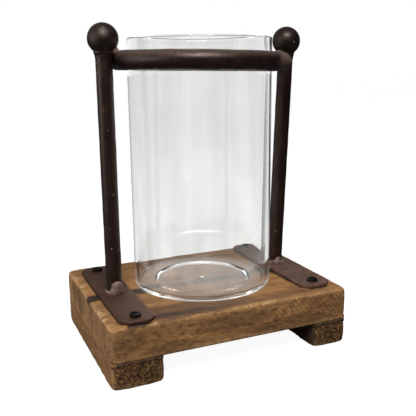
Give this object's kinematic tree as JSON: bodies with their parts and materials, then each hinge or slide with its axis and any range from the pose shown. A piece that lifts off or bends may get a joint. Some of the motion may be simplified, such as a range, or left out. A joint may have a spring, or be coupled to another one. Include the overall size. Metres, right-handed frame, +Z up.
{
  "type": "hurricane candle holder",
  "caption": "Free-standing candle holder: a clear glass cylinder stands on a footed wood base inside an iron ring carried by two ball-topped posts.",
  "frame": {"origin": "on the surface the feet stand on, under the middle of the board", "axes": "+Z up, +X along the board to the right, +Y to the back"},
  "size_m": [0.19, 0.139, 0.2451],
  "materials": {
    "board_wood": "worn reclaimed wood with a thin wax",
    "foot_wood": "worn reclaimed wood, rough end grain",
    "brown_iron": "dark rust-brown coat, satin, slightly rough",
    "weld_iron": "dark rust-brown coat over smooth weld bead",
    "black_screw": "black phosphate, satin",
    "zinc_screw": "zinc plated",
    "clear_glass": "clear, polished"
  },
  "bodies": {
    "stand": {"base_board": "board_wood", "foot_screw_left_back": "zinc_screw", "foot_screw_left_front": "zinc_screw", "foot_screw_right_back": "zinc_screw", "foot_screw_right_front": "zinc_screw", "left_ball_finial": "brown_iron", "left_ball_weld": "weld_iron", "left_base_weld": "weld_iron", "left_foot": "foot_wood", "left_mounting_plate": "brown_iron", "left_post": "brown_iron", "left_ring_weld": "weld_iron", "plate_screw_left_back": "black_screw", "plate_screw_left_front": "black_screw", "plate_screw_right_back": "black_screw", "plate_screw_right_front": "black_screw", "retaining_ring": "brown_iron", "right_ball_finial": "brown_iron", "right_ball_weld": "weld_iron", "right_base_weld": "weld_iron", "right_foot": "foot_wood", "right_mounting_plate": "brown_iron", "right_post": "brown_iron", "right_ring_weld": "weld_iron"},
    "glass": {"glass_cylinder": "clear_glass"}
  },
  "joints": [
    {"name": "glass_lift", "type": "slide", "parent": "stand", "child": "glass", "axis": [0, 0, 1], "range_m": [0, 0.21]}
  ]
}
